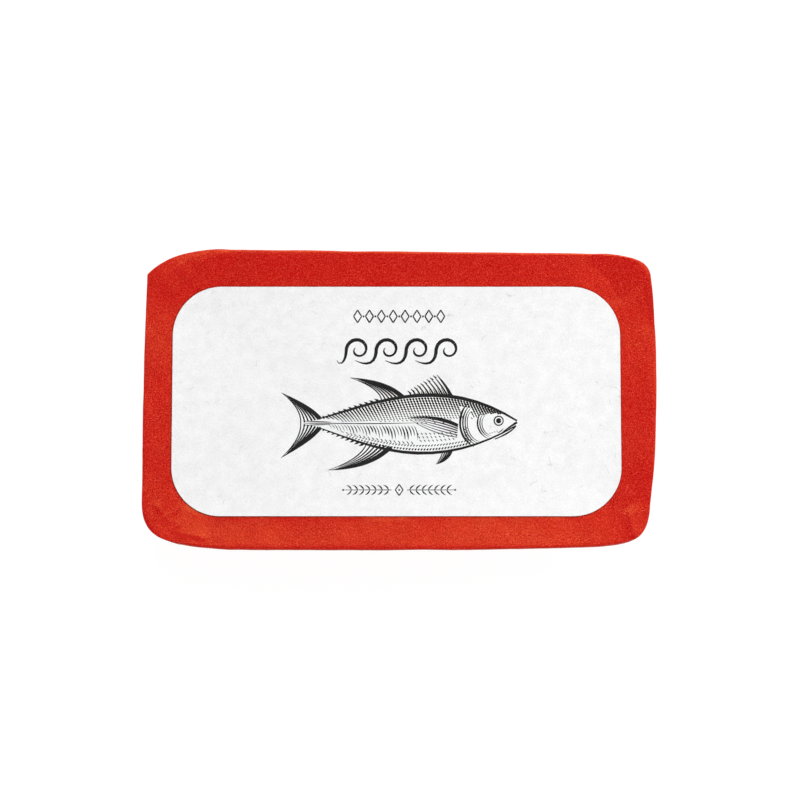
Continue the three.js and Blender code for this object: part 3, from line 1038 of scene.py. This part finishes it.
def label_paper():
    """White recycled paper: grey mottling, stray grey fibres of two sizes, specks, and a fine
    tooth."""
    shaded_white = (0.79, 0.79, 0.79)
    clear_white = (0.925, 0.925, 0.925)
    fibre_grey = (0.42, 0.42, 0.42)

    material, tree, shader = new_material("label paper")
    place = place_of(tree)
    fine = noise(tree, place, 0.3, 2.0, 0.6)
    clouds = noise(tree, place, 2.6, 4.0, 0.6)
    fine_share = math_node(tree, "MULTIPLY", fine, 0.6)
    mottle = math_node(tree, "ADD", fine_share, math_node(tree, "MULTIPLY", clouds, 0.4))
    white = mix_colour(tree, spread(tree, mottle, 0.35, 0.65, 0, 1), shaded_white, clear_white)
    long_fibres = stray_fibre(tree, (0.11, 0.2, 0.0), 4.0, 3.0)
    short_fibres = stray_fibre(tree, (0.37, 0.05, 0.0), 2.6, 2.2)
    fibres = math_node(tree, "MAXIMUM", long_fibres, short_fibres)
    speck_noise = noise(tree, place_of(tree, (0.2, 0.4, 0.1)), 0.5, 1.0)
    specks = spread(tree, speck_noise, 0.76, 0.82, 0.0, 0.5)
    marks = math_node(tree, "MULTIPLY", math_node(tree, "MAXIMUM", fibres, specks), 0.35)
    tree.links.new(mix_colour(tree, marks, white, fibre_grey), shader.inputs["Base Color"])
    tree.links.new(spread(tree, clouds, 0.3, 0.7, 0.9, 0.8), shader.inputs["Roughness"])
    shader.inputs["Specular IOR Level"].default_value = 0.3
    bump(tree, shader, fine, 0.012)
    return material


def printing_ink():
    """Black ink, a little uneven where the paper takes less of it."""
    full_black = (0.004, 0.004, 0.0045)
    worn_black = (0.014, 0.014, 0.0145)

    material, tree, shader = new_material("printing ink")
    wear = noise(tree, place_of(tree), 0.7, 3.0)
    colour = mix_colour(tree, spread(tree, wear, 0.35, 0.75, 0, 1), full_black, worn_black)
    tree.links.new(colour, shader.inputs["Base Color"])
    tree.links.new(spread(tree, wear, 0.3, 0.7, 0.5, 0.75), shader.inputs["Roughness"])
    shader.inputs["Specular IOR Level"].default_value = 0.25
    return material


def floor_paint():
    """A white floor that gives off a little light of its own, so that it stays white in shade."""
    material, tree, shader = new_material("white floor")
    tone = noise(tree, place_of(tree), 60.0, 2.0)
    colour = mix_colour(tree, tone, (0.11, 0.11, 0.11), (0.13, 0.13, 0.13))
    tree.links.new(colour, shader.inputs["Base Color"])
    shader.inputs["Roughness"].default_value = 0.9
    shader.inputs["Specular IOR Level"].default_value = 0.1
    shader.inputs["Emission Color"].default_value = (1, 1, 1, 1)
    shader.inputs["Emission Strength"].default_value = 0.95
    return material


def camera():
    """Straight above, where the photograph was taken from. The picture is 165.9 mm wide at the
    paper's outer edge, and its middle is a fifth of a millimetre right of the tin's."""
    edge_height, picture_width, right_of_middle = 22.2, 165.9, 0.17
    data = bpy.data.cameras.new("camera")
    data.lens = 85
    data.sensor_width = 36
    data.clip_start, data.clip_end = 0.01, 20
    view = bpy.data.objects.new("camera", data)
    bpy.context.scene.collection.objects.link(view)
    height = edge_height + picture_width * data.lens / data.sensor_width
    view.location = (right_of_middle * MM, 0, height * MM)
    bpy.context.scene.camera = view


def lamp(name, place, size, power):
    """A square soft light at a place, in metres, turned towards the tin's top."""
    data = bpy.data.lights.new(name, "AREA")
    data.shape = "SQUARE"
    data.size = size
    data.energy = power
    light = bpy.data.objects.new(name, data)
    bpy.context.scene.collection.objects.link(light)
    light.location = place
    way = Vector((0, 0, 20 * MM)) - Vector(place)
    light.rotation_euler = way.to_track_quat("-Z", "Y").to_euler()


def studio():
    """The floor, a surrounding that is pale at the horizon and dim overhead, one large soft light
    from the far side and two small ones that help it, from higher up and from the right."""
    mesh = bpy.data.meshes.new("floor")
    half = 4.0
    corners = [(-half, -half, 0), (half, -half, 0), (half, half, 0), (-half, half, 0)]
    mesh.from_pydata(corners, [], [(0, 1, 2, 3)])
    mesh.materials.append(floor_paint())
    floor = bpy.data.objects.new("floor", mesh)
    bpy.context.scene.collection.objects.link(floor)

    world = bpy.data.worlds.new("studio")
    bpy.context.scene.world = world
    world.use_nodes = True
    tree = world.node_tree
    sky = node(tree, "ShaderNodeTexCoord")
    split = node(tree, "ShaderNodeSeparateXYZ")
    tree.links.new(sky.outputs["Generated"], split.inputs["Vector"])
    pale, dim = 0.91, 0.02
    strength = spread(tree, split.outputs["Z"], 0.0, 1.0, pale, dim)
    tree.links.new(strength, tree.nodes["Background"].inputs["Strength"])
    tree.nodes["Background"].inputs["Color"].default_value = (1, 1, 1, 1)
    lamp("far light", (0.21, 0.645, 0.87), 0.5, 8.8)
    lamp("upper light", (-0.03, 0.36, 1.0), 0.15, 0.6)
    lamp("right light", (0.27, -0.03, 0.27), 0.25, 0.33)
    bpy.context.scene.view_settings.view_transform = "Standard"
    bpy.context.scene.view_settings.look = "None"


camera()
studio()

red = red_pearl_paper()
white = label_paper()
black = printing_ink()

red_wrap = (red, "red_paper", ["wrapped_tin"])
skin = wrapped_rows()
wrap = mesh_piece("paper_wrap", *closed_rows(skin), *red_wrap)
paint_shadow_beside_label(wrap)
for end_name, end_side in (("right", 1), ("left", -1)):
    wall = end_wall(skin, end_side)
    mesh_piece(f"{end_name}_lower_flap", *bottom_flap(wall, end_side), *red_wrap)
    mesh_piece(f"{end_name}_upper_flap", *top_flap(wall, end_side), *red_wrap)
mesh_piece("base_lap", *base_lap(), *red_wrap)
mesh_piece("paper_label", *label_sheet(), white, "label_paper", ["label"])
fish_picture().piece("fish_print", black)
upper_row().piece("lozenge_print", black)
wave_row().piece("wave_print", black)
lower_row().piece("sprig_print", black)
